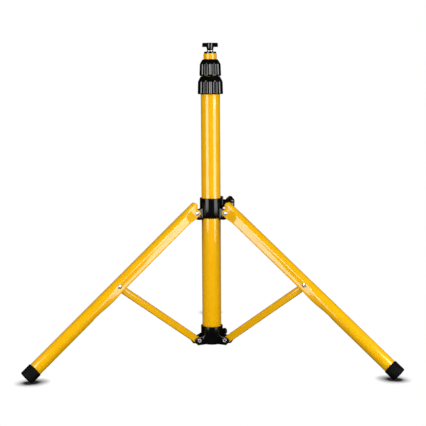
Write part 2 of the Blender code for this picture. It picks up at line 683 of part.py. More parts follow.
def add_leg(number, azimuth_axis, leg_axis):
    foot_end = LEG_LENGTH
    tube_end = foot_end - FOOT_FLOOR - GAP
    shoulders = (5, 13, 21, 30)
    roundings = (5, 13, 23, 35, 53, 78)
    stations = [-LEG_TOP, *(s * MM for s in shoulders), *(LINK + s * MM for s in roundings), tube_end]
    skin = loft_mesh([leg_section(down, 0) for down in stations])
    leg = add_part(f"leg_tube_{number}", skin, YELLOW_PAINT, leg_axis)

    ends = [-LEG_TOP - 2 * MM, *stations[1:-1], tube_end + 2 * MM]
    core = loft_mesh([leg_section(down, LEG_WALL) for down in ends])
    combine(leg, "DIFFERENCE", f"leg_core_{number}", core)

    # The channel is open on its inner side, from the top to beyond the strut's rivet
    wide = CHANNEL_HALF_WIDTH - LEG_WALL - 0.4 * MM
    slot = tapering_slot(wide, -26 * MM, -LINK - 73 * MM, -LINK - CHANNEL_END, 8 * MM)
    slot = plate_mesh(slot, -PIVOT_OFFSET + 3 * MM, 40 * MM)
    slot.transform(Matrix.Rotation(math.radians(90), 4, "Z"))
    combine(leg, "DIFFERENCE", f"leg_slot_{number}", slot)
    narrow = EAR_HALF_WIDTH - LEG_WALL - 0.05 * MM
    throat = box_mesh((-40 * MM, -narrow, -28.5 * MM), (PIVOT_OFFSET, narrow, LEG_TOP + 2 * MM))
    combine(leg, "DIFFERENCE", f"leg_throat_{number}", throat)

    # Above the pivot the walls are cut back to round ears
    ear = arc((0, 0), EAR_RADIUS, 45, 180, 6)
    corner = [(-20 * MM, 20 * MM), (12.5 * MM, 20 * MM), (12.5 * MM, 11 * MM), *ear, (-20 * MM, 0)]
    combine(leg, "DIFFERENCE", f"leg_ear_cut_{number}", plate_mesh(corner, -20 * MM, 20 * MM))
    crown = PIVOT_OFFSET + LEG_RADIUS
    tip = [
        (crown - 4 * MM, LEG_TOP + 1 * MM),
        (crown - 1.3 * MM, LEG_TOP - 2.2 * MM),
        (crown + 0.5 * MM, LEG_TOP - 6 * MM),
        (crown + 5 * MM, LEG_TOP + 1 * MM),
    ]
    combine(leg, "DIFFERENCE", f"leg_tip_cut_{number}", plate_mesh(tip, -20 * MM, 20 * MM))

    strut_pivot = leg_point(STRUT_PIVOT)
    for name, centre in (("pivot", Vector((0, 0, 0))), ("strut", strut_pivot)):
        hole = cylinder_mesh(RIVET_HOLE, -20 * MM, 20 * MM, "Y", 12)
        hole.transform(Matrix.Translation(centre))
        combine(leg, "DIFFERENCE", f"leg_{name}_hole_{number}", hole)

    add_rivet(f"leg_pivot_rivet_{number}", EAR_HALF_WIDTH, LEG_PIVOT, azimuth_axis)
    add_rivet(f"strut_rivet_{number}", CHANNEL_HALF_WIDTH, strut_pivot, leg_axis)
    add_foot(number, azimuth_axis, leg_axis)


def leg_point(point):
    """A point of the leg's plane in the leg's own axes."""
    offset = point - LEG_PIVOT
    return Vector((offset.dot(LEG_OUT), 0, -offset.dot(LEG_DOWN)))


def add_foot(number, azimuth_axis, leg_axis):
    """A rubber cup over the tube's end, flattened where it stands on the floor."""
    bore = LEG_RADIUS + GAP
    profile = [
        (0, FOOT_FLOOR),
        (bore, FOOT_FLOOR),
        (bore, FOOT_LENGTH),
        (FOOT_RADIUS - 0.4 * MM, FOOT_LENGTH),
        (FOOT_RADIUS, FOOT_LENGTH - 0.4 * MM),
        (FOOT_RADIUS, 1.2 * MM),
        (FOOT_RIM_RADIUS, 0),
        (0, 0),
    ]
    mesh = turned_mesh(profile, 24)
    mesh.transform(Matrix.Translation((PIVOT_OFFSET, 0, -LEG_LENGTH)))
    foot = add_part(f"foot_cap_{number}", mesh, BLACK_RUBBER, leg_axis)
    low = (FOOT_END.x - 40 * MM, -30 * MM, -30 * MM)
    floor = add_tool(f"floor_{number}", box_mesh(low, (FOOT_END.x + 40 * MM, 30 * MM, 0)), azimuth_axis)
    modifier = foot.modifiers.new("Floor", "BOOLEAN")
    modifier.operation = "DIFFERENCE"
    modifier.object = floor
    modifier.solver = "EXACT"


def add_rivet(name, half_width, centre, parent):
    """A tubular rivet across a leg's plane, its heads clear of walls half_width out."""
    under = half_width + GAP
    top = under + RIVET_HEAD
    outer = [
        (RIVET_HEAD_RADIUS - 0.9 * MM, top),
        (RIVET_HEAD_RADIUS, under + 0.3 * MM),
        (RIVET_HEAD_RADIUS, under),
        (RIVET_RADIUS, under),
    ]
    mirrored = [(radius, -height) for radius, height in reversed(outer)]
    profile = outer + mirrored + [(RIVET_BORE, -top), (RIVET_BORE, top)]
    mesh = turned_mesh(profile, 12, closed=True)
    mesh.transform(Matrix.Translation(centre) @ Matrix.Rotation(math.radians(90), 4, "X"))
    add_part(name, mesh, ZINC_STEEL, parent)


def strut_section(inset, drop, height):
    """A ring of the strut's skin: a round back towards +X and straight sides, open below."""
    crimped = blend(LINK - 30 * MM, LINK - 14 * MM, height)
    half = STRUT_HALF_WIDTH + (STRUT_EAR - STRUT_HALF_WIDTH) * crimped
    back = STRUT_RADIUS - half
    half -= inset
    round_back = arc((back, 0), half, -90, 90, 8)
    return [(x, y, height) for x, y in [(-drop, -half), *round_back, (-drop, half)]]


def add_strut(number, strut_axis):
    """The strut in its own axes: its origin at the hub rivet, Z towards the leg, X upwards."""
    bends = (LINK - 30 * MM, LINK - 22 * MM, LINK - 14 * MM)
    heights = (-20 * MM, *bends, LINK + 20 * MM)
    skin = loft_mesh([strut_section(0, STRUT_RADIUS, height) for height in heights])
    strut = add_part(f"strut_{number}", skin, YELLOW_PAINT, strut_axis)
    beyond = STRUT_RADIUS + 1 * MM
    neck = LINK - 3 * MM
    upper = [(beyond, neck), *arc((0, LINK), STRUT_EAR, 15, 165, 8), (-beyond, neck)]
    lower = [(-beyond, 0), *arc((0, 0), STRUT_RADIUS, 190, 350, 8), (beyond, 0)]
    outline = plate_mesh([*upper, *lower], -20 * MM, 20 * MM)
    combine(strut, "INTERSECT", f"strut_outline_{number}", outline)
    heights = (-30 * MM, *bends, LINK + 30 * MM)
    core = loft_mesh([strut_section(STRUT_WALL, 20 * MM, height) for height in heights])
    combine(strut, "DIFFERENCE", f"strut_core_{number}", core)
    for name, height in (("hub", 0), ("leg", LINK)):
        hole = cylinder_mesh(RIVET_HOLE, -20 * MM, 20 * MM, "Y", 12)
        hole.transform(Matrix.Translation((0, 0, height)))
        combine(strut, "DIFFERENCE", f"strut_{name}_hole_{number}", hole)


def build():
    column_axis = empty("column_axis", location=(0, AXIS_Y, 0))
    add_tube("main_tube", MAIN_RADIUS, MAIN_WALL, MAIN_BOTTOM, MAIN_TOP, column_axis)
    add_base_plug(column_axis)
    add_hub(column_axis)
    add_hub_screw(column_axis)
    add_collet("lower_collet", MAIN_RADIUS, MID_RADIUS, 21.0 * MM, MAIN_TOP, column_axis)
    add_lower_nut(column_axis)

    mid_axis = empty("mid_axis", column_axis)
    add_tube("mid_tube", MID_RADIUS, MID_WALL, MID_BOTTOM, MID_TOP, mid_axis)
    main_bore = MAIN_RADIUS - MAIN_WALL
    add_guide_bush("mid_guide_bush", MID_RADIUS, main_bore, MID_BOTTOM, mid_axis)
    add_collet("upper_collet", MID_RADIUS, INNER_RADIUS, 17.8 * MM, MID_TOP, mid_axis)
    add_upper_nut(mid_axis)

    inner_axis = empty("inner_axis", mid_axis)
    inner = add_tube("inner_tube", INNER_RADIUS, INNER_WALL, INNER_BOTTOM, INNER_TOP, inner_axis)
    dimple_inner_tube(inner)
    mid_bore = MID_RADIUS - MID_WALL
    add_guide_bush("inner_guide_bush", INNER_RADIUS, mid_bore, INNER_BOTTOM, inner_axis)
    add_top_fitting(inner_axis)

    collar_axis = empty("collar_axis", column_axis)
    add_collar(collar_axis)
    knob_axis = empty("clamp_knob_axis", collar_axis, (0, 0, CLAMP_Z), KNOB_AZIMUTH, math.radians(90))
    add_clamp(collar_axis, knob_axis)

    for number, azimuth in LEG_AZIMUTHS.items():
        azimuth_axis = empty(f"leg_plane_{number}", column_axis, turn_z=azimuth)
        leg_axis = empty(f"leg_pivot_{number}", azimuth_axis, LEG_PIVOT, turn_y=-LEG_ANGLE)
        add_leg(number, azimuth_axis, leg_axis)
        # Turned by the spread angle, Z points from the hub rivet to the strut rivet; the
        # half turn about Z puts the strut's round back on top
        strut_axis = empty(f"strut_pivot_{number}", azimuth_axis, HUB_PIVOT, turn_y=SPREAD)
        back_axis = empty(f"strut_back_{number}", strut_axis, turn_z=math.pi)
        add_strut(number, back_axis)
        add_rivet(f"hub_rivet_{number}", HUB_EAR_OUTER, HUB_PIVOT, azimuth_axis)


clear_scene()
PARTS = new_collection("work_light_tripod_stand")
TOOLS = new_collection("cutters")
build()
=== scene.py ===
"""The looks of a work light's telescoping tripod stand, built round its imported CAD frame.

Lengths are metres, and MM turns millimetres into them. Round pieces are made along Z at the
origin of their own axes and put in place by a matrix.
"""

import json
import math

import bmesh
import bpy
from mathutils import Matrix, Vector

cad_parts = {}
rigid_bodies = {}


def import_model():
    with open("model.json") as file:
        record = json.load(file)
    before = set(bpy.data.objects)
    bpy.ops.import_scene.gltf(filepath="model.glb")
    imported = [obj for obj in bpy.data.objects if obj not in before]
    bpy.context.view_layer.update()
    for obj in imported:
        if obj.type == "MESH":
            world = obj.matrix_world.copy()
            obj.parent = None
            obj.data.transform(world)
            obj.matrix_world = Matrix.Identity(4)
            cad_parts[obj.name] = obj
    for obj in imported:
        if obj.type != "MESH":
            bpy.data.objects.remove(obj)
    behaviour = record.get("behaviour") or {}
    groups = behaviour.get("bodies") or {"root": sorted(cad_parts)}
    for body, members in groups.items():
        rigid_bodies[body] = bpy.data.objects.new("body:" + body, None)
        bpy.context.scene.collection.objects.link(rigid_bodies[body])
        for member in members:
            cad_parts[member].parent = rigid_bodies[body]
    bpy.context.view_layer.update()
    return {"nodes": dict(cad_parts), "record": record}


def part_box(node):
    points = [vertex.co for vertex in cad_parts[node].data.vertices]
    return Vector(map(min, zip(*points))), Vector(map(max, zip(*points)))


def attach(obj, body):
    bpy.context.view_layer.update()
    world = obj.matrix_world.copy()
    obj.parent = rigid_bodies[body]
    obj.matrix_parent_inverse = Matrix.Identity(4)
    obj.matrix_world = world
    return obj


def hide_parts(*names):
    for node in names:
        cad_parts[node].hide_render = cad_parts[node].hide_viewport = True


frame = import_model()

MM = 0.001
FULL = 2 * math.pi

# The column's tubes, as (radius, wall, bottom, top)
MAIN_TUBE = (19 * MM, 1.2 * MM, 28 * MM, 548 * MM)
MID_TUBE = (16 * MM, 1.1 * MM, 46 * MM, 582 * MM)
INNER_TUBE = (13 * MM, 1.0 * MM, 50 * MM, 603.8 * MM)
TUBE_EDGE = 0.35 * MM  # how far the edges of cut sheet and tube are rounded
DIMPLE_COUNT, DIMPLE_RADIUS, DIMPLE_Z = 4, 14.3 * MM, 598 * MM
RIB_COUNT, RIB_SHARPNESS = 16, 2.5
KNOB_BORE = 4.2 * MM

# The folding base, as in the CAD
LINK = 215.5 * MM
PIVOT_RADIUS, HUB_PIVOT_Z = 35.2 * MM, 34.7 * MM
SPREAD, LEG_ANGLE = math.radians(53.6), math.radians(51.1)
COLLAR_PIVOT_Z = HUB_PIVOT_Z + 2 * LINK * math.cos(SPREAD)
LEG_AZIMUTHS = {1: math.radians(210), 2: math.radians(-30), 3: math.radians(90)}
KNOB_AZIMUTH = math.radians(30)
RIVET_HOLE = 3.5 * MM
HUB_EAR_INNER, HUB_EAR_OUTER = 7.5 * MM, 10.9 * MM
CLAMP_Z, HUB_SCREW_Z = 307 * MM, 44 * MM
TONGUE_HALF_WIDTH, TONGUE_RADIUS = 4.5 * MM, 6.6 * MM
LOBE_COUNT, LOBE_DEPTH = 6, 1.6 * MM

# A leg, measured down from its pivot: ears, then a channel, then round tube
PIVOT_OFFSET, LEG_RADIUS, LEG_WALL, LEG_TOP = 8.3 * MM, 13 * MM, 1.5 * MM, 11.5 * MM
LEG_CROWN = PIVOT_OFFSET + LEG_RADIUS
EAR_RADIUS, EAR_HALF_WIDTH, CHANNEL_HALF_WIDTH = 7.2 * MM, 6.4 * MM, 10.5 * MM
WIDENING_START, WIDENING_END, WIDENING_STEP = 5 * MM, 30 * MM, 1.79 * MM
CHANNEL_EDGE, CHANNEL_START = 2.5 * MM, 26 * MM
CHANNEL_SPLAY = math.tan(math.radians(5))  # the channel's walls open out towards its mouth
CHANNEL_TAPER, CHANNEL_END, CHANNEL_END_RADIUS = LINK + 73 * MM, LINK + 85 * MM, 8 * MM
THROAT_END = 28.5 * MM
TIP_RADIUS = 6.6 * MM
ROUNDING_START, ROUNDING_END = LINK + 5 * MM, LINK + 78 * MM
WIDENING_STATIONS, ROUNDING_STEPS = 15, 20
SKIN_CORNERS = 64
FOOT_RADIUS, FOOT_LENGTH, FOOT_FLOOR = 14.4 * MM, 22.5 * MM, 3.7 * MM
FOOT_EDGE, FOOT_FLAT = 1 * MM, 1 * MM
FOOT_END_Z = (FOOT_RADIUS - FOOT_EDGE) * math.sin(LEG_ANGLE) - FOOT_FLAT
LEG_HEIGHT = COLLAR_PIVOT_Z + PIVOT_OFFSET * math.sin(LEG_ANGLE) - FOOT_END_Z
LEG_LENGTH = LEG_HEIGHT / math.cos(LEG_ANGLE)
FOOT_GAP = 0.3 * MM  # between the tube and its foot cap

# A strut, whose upper end is crimped to fit between the leg's walls
STRUT_HALF_WIDTH, STRUT_EAR, STRUT_RADIUS, STRUT_WALL = 7 * MM, 6.2 * MM, 7 * MM, 1.5 * MM
CRIMP_START, CRIMP_END = LINK - 30 * MM, LINK - 14 * MM
CRIMP_STEPS, CROWN_STEPS = 8, 24

# Lengths for tools that cut right through, and beyond
THROUGH_RIVETS, THROUGH_LEG = 12 * MM, 20 * MM

# The studio. A softbox is (name, azimuth in degrees, distance, width, seen in reflections), and it
# fades towards the floor in rows of (bottom, top, share of radiance). Its upper part hangs further back.
SOFTBOX_RADIANCE, WORLD_FILL = 6.5, 0.20
SOFTBOXES = (
    ("softbox_left", -43, 1.5, 0.80, True),
    ("softbox_right", 47.5, 1.2, 0.70, True),
    ("softbox_back", 180, 1.9, 1.20, False),
)
SOFTBOX_ROWS = (
    (0.18, 0.74, 1.0),
    (0.06, 0.18, 0.80),
    (-0.01, 0.06, 0.50),
)
UPPER_BOTTOM, UPPER_TOP, UPPER_DISTANCE = 0.82, 1.32, 2.0
CONTACT_SHADOW_REACH = 25 * MM  # how near to the floor a piece must be to darken it with a painted contact shadow
FLOOR_SIZE, BACKDROP_RADIUS = 12, 10

# The camera stands in front, turned about Z, X and its own axis by degrees
FOCAL_LENGTH, SENSOR_WIDTH = 88.27, 36
CAMERA_SPOT = (-0.016, -2.070, 0.550)
CAMERA_YAW, CAMERA_PITCH, CAMERA_ROLL = -0.545, 82.804, -0.367

COLUMN = Matrix.Translation(((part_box("main_tube")[0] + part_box("main_tube")[1]) * 0.5).xy.to_3d())


# ---------------------------------------------------------------- procedural materials


class Surface:
    """A Principled material whose colour, roughness and relief come from noise on the object."""

    IOR = 1.5
    NOISE_REACH = (0.3, 0.7)  # the part of a noise's range that carries a change

    def __init__(self, name, roughness, metallic=0.0, coat=0.0, coat_roughness=0.1):
        self.material = bpy.data.materials.new(name)
        self.material.use_nodes = True
        self.nodes = self.material.node_tree.nodes
        self.links = self.material.node_tree.links
        self.shader = self.nodes["Principled BSDF"]
        self.shader.inputs["Metallic"].default_value = metallic
        self.shader.inputs["Coat Weight"].default_value = coat
        self.shader.inputs["Coat Roughness"].default_value = coat_roughness
        self.shader.inputs["IOR"].default_value = self.IOR
        self.places = self.nodes.new("ShaderNodeTexCoord")
        low, high, scale = roughness
        self.vary("Roughness", scale, (low, low, low), (high, high, high), detail=5)

    def noise(self, scale, detail=3, stretch=(1, 1, 1)):
        """A noise's output, its scale in features per metre."""
        mapping = self.nodes.new("ShaderNodeMapping")
        mapping.inputs["Scale"].default_value = stretch
        self.links.new(self.places.outputs["Object"], mapping.inputs["Vector"])
        made = self.nodes.new("ShaderNodeTexNoise")
        made.inputs["Scale"].default_value = scale
        made.inputs["Detail"].default_value = detail
        self.links.new(mapping.outputs["Vector"], made.inputs["Vector"])
        return made.outputs["Fac"]

    def vary(self, socket, scale, low, high, detail=3):
        """Runs an input between two values with noise."""
        ramp = self.nodes.new("ShaderNodeValToRGB")
        for element, position, value in zip(ramp.color_ramp.elements, self.NOISE_REACH, (low, high)):
            element.position = position
            element.color = (*value, 1)
        self.links.new(self.noise(scale, detail), ramp.inputs["Fac"])
        self.links.new(ramp.outputs["Color"], self.shader.inputs[socket])

    def bump(self, scale, height, strength, stretch=(1, 1, 1)):
        """Adds relief of a height in metres."""
        made = self.nodes.new("ShaderNodeBump")
        made.inputs["Strength"].default_value = strength
        made.inputs["Distance"].default_value = height
        self.links.new(self.noise(scale, stretch=stretch), made.inputs["Height"])
        self.links.new(made.outputs["Normal"], self.shader.inputs["Normal"])


def make_materials():
    """The record's material slots, as finished surfaces. Roughness is (low, high, scale)."""
    paint = Surface("yellow_paint_look", (0.30, 0.40, 60), coat=1.0, coat_roughness=0.07)
    paint.shader.inputs["Specular IOR Level"].default_value = 0.1
    paint.vary("Base Color", 45, (0.81, 0.415, 0.001), (0.86, 0.445, 0.002))
    paint.bump(260, 0.03 * MM, 0.08)
    gloss = Surface("black_plastic_look", (0.07, 0.10, 150))
    gloss.shader.inputs["Specular IOR Level"].default_value = 0.6
    gloss.vary("Base Color", 90, (0.002, 0.002, 0.002), (0.004, 0.004, 0.004))
    gloss.bump(900, 0.01 * MM, 0.12)
    # The hub and the collar shine less than the nuts
    satin = Surface("satin_black_plastic_look", (0.10, 0.15, 150))
    satin.shader.inputs["Specular IOR Level"].default_value = 0.28
    satin.vary("Base Color", 60, (0.002, 0.002, 0.002), (0.004, 0.004, 0.004))
    satin.bump(900, 0.01 * MM, 0.12)
    matte = Surface("matte_black_plastic_look", (0.5, 0.65, 200))
    matte.vary("Base Color", 90, (0.008, 0.008, 0.008), (0.018, 0.018, 0.018))
    matte.bump(1600, 0.05 * MM, 0.5)
    rubber = Surface("foot_rubber_look", (0.55, 0.75, 120))
    rubber.shader.inputs["Specular IOR Level"].default_value = 0.12
    rubber.vary("Base Color", 70, (0.001, 0.001, 0.001), (0.003, 0.003, 0.003))
    rubber.bump(1400, 0.06 * MM, 0.5)
    black_steel = Surface("black_steel_look", (0.25, 0.4, 300), metallic=0.6)
    black_steel.vary("Base Color", 200, (0.006, 0.006, 0.007), (0.016, 0.016, 0.018))
    black_steel.bump(1500, 0.02 * MM, 0.3)
    nylon = Surface("nylon_look", (0.4, 0.52, 150))
    nylon.vary("Base Color", 60, (0.62, 0.60, 0.54), (0.72, 0.70, 0.65))
    nylon.shader.inputs["Subsurface Weight"].default_value = 0.15
    nylon.shader.inputs["Subsurface Radius"].default_value = (0.002, 0.002, 0.0015)
    nylon.bump(900, 0.02 * MM, 0.3)
    zinc = Surface("zinc_steel_look", (0.20, 0.34, 400), metallic=0.8)
    zinc.vary("Base Color", 250, (0.68, 0.68, 0.69), (0.82, 0.82, 0.83))
    zinc.bump(2500, 0.02 * MM, 0.3, stretch=(1, 1, 0.2))
    brass = Surface("brass_look", (0.2, 0.36, 400), metallic=1.0)
    brass.vary("Base Color", 250, (0.62, 0.42, 0.15), (0.74, 0.54, 0.24))
    brass.bump(2500, 0.02 * MM, 0.3, stretch=(1, 1, 0.2))
    made = {
        "yellow_paint": paint,
        "black_plastic": gloss,
        "satin_black_plastic": satin,
        "matte_black_plastic": matte,
        "foot_rubber": rubber,
        "black_steel": black_steel,
        "nylon": nylon,
        "zinc_steel": zinc,
        "brass": brass,
    }
    return {slot: surface.material for slot, surface in made.items()}


# ---------------------------------------------------------------- mesh tools

NEARLY_STRAIGHT = math.radians(86)  # half of a corner that needs no rounding
SIDE_SHARE = 0.45  # of a side, which one rounded corner may take
NOTHING = 1e-7  # a radius that closes a turned shape on its axis

def mesh_from(work):
    """The mesh of a finished bmesh, with its faces turned outwards."""
    bmesh.ops.recalc_face_normals(work, faces=work.faces)
    mesh = bpy.data.meshes.new("mesh")
    work.to_mesh(mesh)
    work.free()
    return mesh


def in_millimetres(points):
    return [(x * MM, z * MM) for x, z in points]


def rounded(points, radius, closed=False, steps=3):
    """A profile or outline with its corners rounded, as far as its sides leave room."""
    points = [Vector(point) for point in points]
    made = []
    for index, corner in enumerate(points):
        if not closed and index in (0, len(points) - 1):
            made.append(tuple(corner))
            continue
        before = points[index - 1] - corner
        after = points[(index + 1) % len(points)] - corner
        half = before.angle(after) / 2
        if half > NEARLY_STRAIGHT:
            made.append(tuple(corner))
            continue
        room = SIDE_SHARE * min(before.length, after.length)
        taken = min(radius / math.tan(half), room)
        middle = (before.normalized() + after.normalized()).normalized()
        centre = corner + middle * (taken / math.cos(half))
        start = corner + before.normalized() * taken - centre
        turn = start.angle_signed(corner + after.normalized() * taken - centre)
        for step in range(steps + 1):
            made.append(tuple(centre + Matrix.Rotation(-turn * step / steps, 2) @ start))
    return made


def divided(points, length):
    """The same line with more points, so that a swell along it can be smooth."""
    made = []
    for start, end in zip(points, points[1:]):
        count = max(1, round(math.dist(start, end) / length))
        for step in range(count):
            share = step / count
            made.append(tuple(a + (b - a) * share for a, b in zip(start, end)))
    return made + [tuple(points[-1])]


def lathe(profile, segments=96, closed=False, swell=None):
    """Points (radius, height) turned about Z. swell(radius, height, angle) gives a new radius."""
    work = bmesh.new()
    rings = []
    for radius, height in profile:
        if radius < NOTHING:
            rings.append([work.verts.new((0, 0, height))])
            continue
        ring = []
        for index in range(segments):
            angle = FULL * index / segments
            reach = swell(radius, height, angle) if swell else radius
            ring.append(work.verts.new((reach * math.cos(angle), reach * math.sin(angle), height)))
        rings.append(ring)
    pairs = list(zip(rings, rings[1:])) + ([(rings[-1], rings[0])] if closed else [])
    for upper, lower in pairs:
        for i in range(segments):
            j = (i + 1) % segments
            if len(upper) == 1:
                work.faces.new((upper[0], lower[i], lower[j]))
            elif len(lower) == 1:
                work.faces.new((upper[i], lower[0], upper[j]))
            else:
                work.faces.new((upper[i], lower[i], lower[j], upper[j]))
    return mesh_from(work)


def loft(sections):
    """A skin over rings of as many points each, closed at both ends."""
    work = bmesh.new()
    rings = [[work.verts.new(point) for point in section] for section in sections]
    count = len(rings[0])
    for below, above in zip(rings, rings[1:]):
        for i in range(count):
            j = (i + 1) % count
            work.faces.new((below[i], below[j], above[j], above[i]))
    work.faces.new(rings[0])
    work.faces.new(rings[-1])
    return mesh_from(work)


def prism(outline, low, high, bevel=0.0, segments=2):
    """An outline of (x, z) points, from low to high along Y, with its rims rounded."""
    work = bmesh.new()
    base = work.faces.new([work.verts.new((x, low, z)) for x, z in outline])
    extruded = bmesh.ops.extrude_face_region(work, geom=[base])["geom"]
    far = [part for part in extruded if isinstance(part, bmesh.types.BMVert)]
    bmesh.ops.translate(work, verts=far, vec=(0, high - low, 0))
    bmesh.ops.recalc_face_normals(work, faces=work.faces)
    if bevel:
        rims = [edge for edge in work.edges if edge.verts[0].co.y == edge.verts[1].co.y]
        bmesh.ops.bevel(
            work, geom=rims, offset=bevel, segments=segments, affect="EDGES", profile=0.5
        )
    return mesh_from(work)


def block(low, high, bevel=0.0):
    """A box between two corners, with its edges rounded."""
    work = bmesh.new()
    bmesh.ops.create_cube(work, size=1)
    bmesh.ops.scale(work, verts=work.verts, vec=[b - a for a, b in zip(low, high)])
    bmesh.ops.translate(work, verts=work.verts, vec=[(a + b) / 2 for a, b in zip(low, high)])
    if bevel:
        bmesh.ops.bevel(
            work, geom=work.edges[:], offset=bevel, segments=3, affect="EDGES", profile=0.5
        )
    return mesh_from(work)


def rod(radius, start, end, axis="Z", segments=48):
    """A plain cylinder along an axis, to cut with."""
    mesh = lathe([(0, end), (radius, end), (radius, start), (0, start)], segments)
    degrees, about = {"X": (90, "Y"), "Y": (-90, "X"), "Z": (0, "Z")}[axis]
    return moved(mesh, Matrix.Rotation(math.radians(degrees), 4, about))


def moved(mesh, matrix):
    mesh.transform(matrix)
    return mesh


def arc(centre, radius, start, end, steps):
    """Points from one angle to another, in degrees, both included."""
    angles = [math.radians(start + (end - start) * i / steps) for i in range(steps + 1)]
    return [(centre[0] + radius * math.cos(a), centre[1] + radius * math.sin(a)) for a in angles]


def applied(mesh, modifiers):
    """The mesh after modifiers, each (type, {settings}); an object setting is given as a mesh."""
    scene = bpy.context.scene.collection.objects
    base = bpy.data.objects.new("base", mesh)
    scene.link(base)
    helpers = []
    for kind, settings in modifiers:
        modifier = base.modifiers.new(kind, kind)
        for key, value in settings.items():
            if key == "object":
                value = bpy.data.objects.new("tool", value)
                scene.link(value)
                helpers.append(value)
            setattr(modifier, key, value)
    graph = bpy.context.evaluated_depsgraph_get()
    made = bpy.data.meshes.new_from_object(base.evaluated_get(graph))
    for helper in [base, *helpers]:
        bpy.data.objects.remove(helper, do_unlink=True)
    return made


def cut(mesh, *tools, operation="DIFFERENCE"):
    steps = [
        ("BOOLEAN", {"operation": operation, "solver": "EXACT", "object": tool}) for tool in tools
    ]
    return applied(mesh, steps)


def join(mesh, *tools):
    return cut(mesh, *tools, operation="UNION")


def softened(mesh, width, segments=2, angle=35):
    """The mesh with its sharp edges rounded off."""
    settings = {
        "width": width,
        "segments": segments,
        "limit_method": "ANGLE",
        "angle_limit": math.radians(angle),
        "use_clamp_overlap": True,
        "miter_outer": "MITER_ARC",
    }
    weld = ("WELD", {"merge_threshold": 1e-6})
    return applied(mesh, [weld, ("BEVEL", settings)])


def blend(low, high, position):
    """0 below low, 1 above high, and a smooth step between them."""
    share = min(max((position - low) / (high - low), 0), 1)
    return share * share * (3 - 2 * share)


def piece(name, mesh, place, slot, body, *nodes, look=None, sharp=35):
    """Puts a finished mesh in place of CAD nodes, riding on their body."""
    mesh.shade_smooth()
    mesh.set_sharp_from_angle(angle=math.radians(sharp))
    mesh.materials.clear()
    mesh.materials.append(MATERIALS[look or slot])
    made = bpy.data.objects.new(name, mesh)
    bpy.context.scene.collection.objects.link(made)
    made.matrix_world = place
    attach(made, body)
    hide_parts(*nodes)


# ---------------------------------------------------------------- column


def tube_mesh(radius, wall, bottom, top):
    profile = [(radius, top), (radius, bottom), (radius - wall, bottom), (radius - wall, top)]
    ring = rounded(profile, TUBE_EDGE, closed=True)
    return lathe(ring, 128, closed=True)


def add_tubes():
    main = tube_mesh(*MAIN_TUBE)
    piece("main_tube_painted", main, COLUMN, "yellow_paint", "mast", "main_tube")
    mid = tube_mesh(*MID_TUBE)
    piece("mid_tube_painted", mid, COLUMN, "yellow_paint", "mid_mast", "mid_tube")

    # The inner tube's end is staked to its plug by punched dimples, midway between the axes
    dome = in_millimetres([(0, 1.9), (1.3, 1.5), (2.1, 0.5), (2.4, 0), (1.8, -1.2), (0, -1.7)])
    punches = []
    for index in range(DIMPLE_COUNT):
        turn = Matrix.Rotation(FULL * (index + 0.5) / DIMPLE_COUNT, 4, "Z")
        spot = turn @ Matrix.Translation((DIMPLE_RADIUS, 0, DIMPLE_Z))
        punches.append(moved(lathe(dome, 24), spot))
    inner = cut(tube_mesh(*INNER_TUBE), *punches)
    piece("inner_tube_painted", inner, COLUMN, "yellow_paint", "top_mast", "inner_tube")


def ribbed_nut(outside, inside, groove_depth, low, high, beyond):
    """A turned nut. Between low and high, round grooves leave ribs on what lies beyond a radius."""

    def swell(radius, height, angle):
        if radius < beyond:
            return radius
        groove = (0.5 + 0.5 * math.cos(RIB_COUNT * angle)) ** RIB_SHARPNESS
        window = blend(low - 0.8 * MM, low, height) * (1 - blend(high - 2.5 * MM, high, height))
        return radius - groove_depth * groove * window

    ring = rounded(in_millimetres(outside + inside), 0.7 * MM, closed=True)
    return lathe(divided(ring, 1.5 * MM), 12 * RIB_COUNT, closed=True, swell=swell)


def add_nuts():
    outside = [
        (18.2, 559.5),
        (19.4, 558.6),
        (23.2, 551.6),
        (24.55, 548.2),
        (25.2, 526.6),
        (24.7, 524.6),
    ]
    inside = [(21.4, 524.6), (21.4, 549.5), (18.6, 557), (16.5, 557.3), (16.5, 559.5)]
    nut = ribbed_nut(outside, inside, 1.5 * MM, 522.5 * MM, 550.5 * MM, 23.1 * MM)
    piece("lower_twist_nut_ribbed", nut, COLUMN, "black_plastic", "lower_nut", "lower_twist_nut")

    outside = [
        (14.6, 592.4),
        (15.5, 591.6),
        (19.2, 585.8),
        (20.7, 582.8),
        (21.5, 563.4),
        (21.1, 561),
        (20, 559.8),
    ]
    inside = [(18.2, 559.8), (18.2, 583.5), (15.6, 590.9), (13.5, 591.2), (13.5, 592.4)]
    nut = ribbed_nut(outside, inside, 1.3 * MM, 562.5 * MM, 585.4 * MM, 19.4 * MM)
    piece("upper_twist_nut_ribbed", nut, COLUMN, "black_plastic", "upper_nut", "upper_twist_nut")


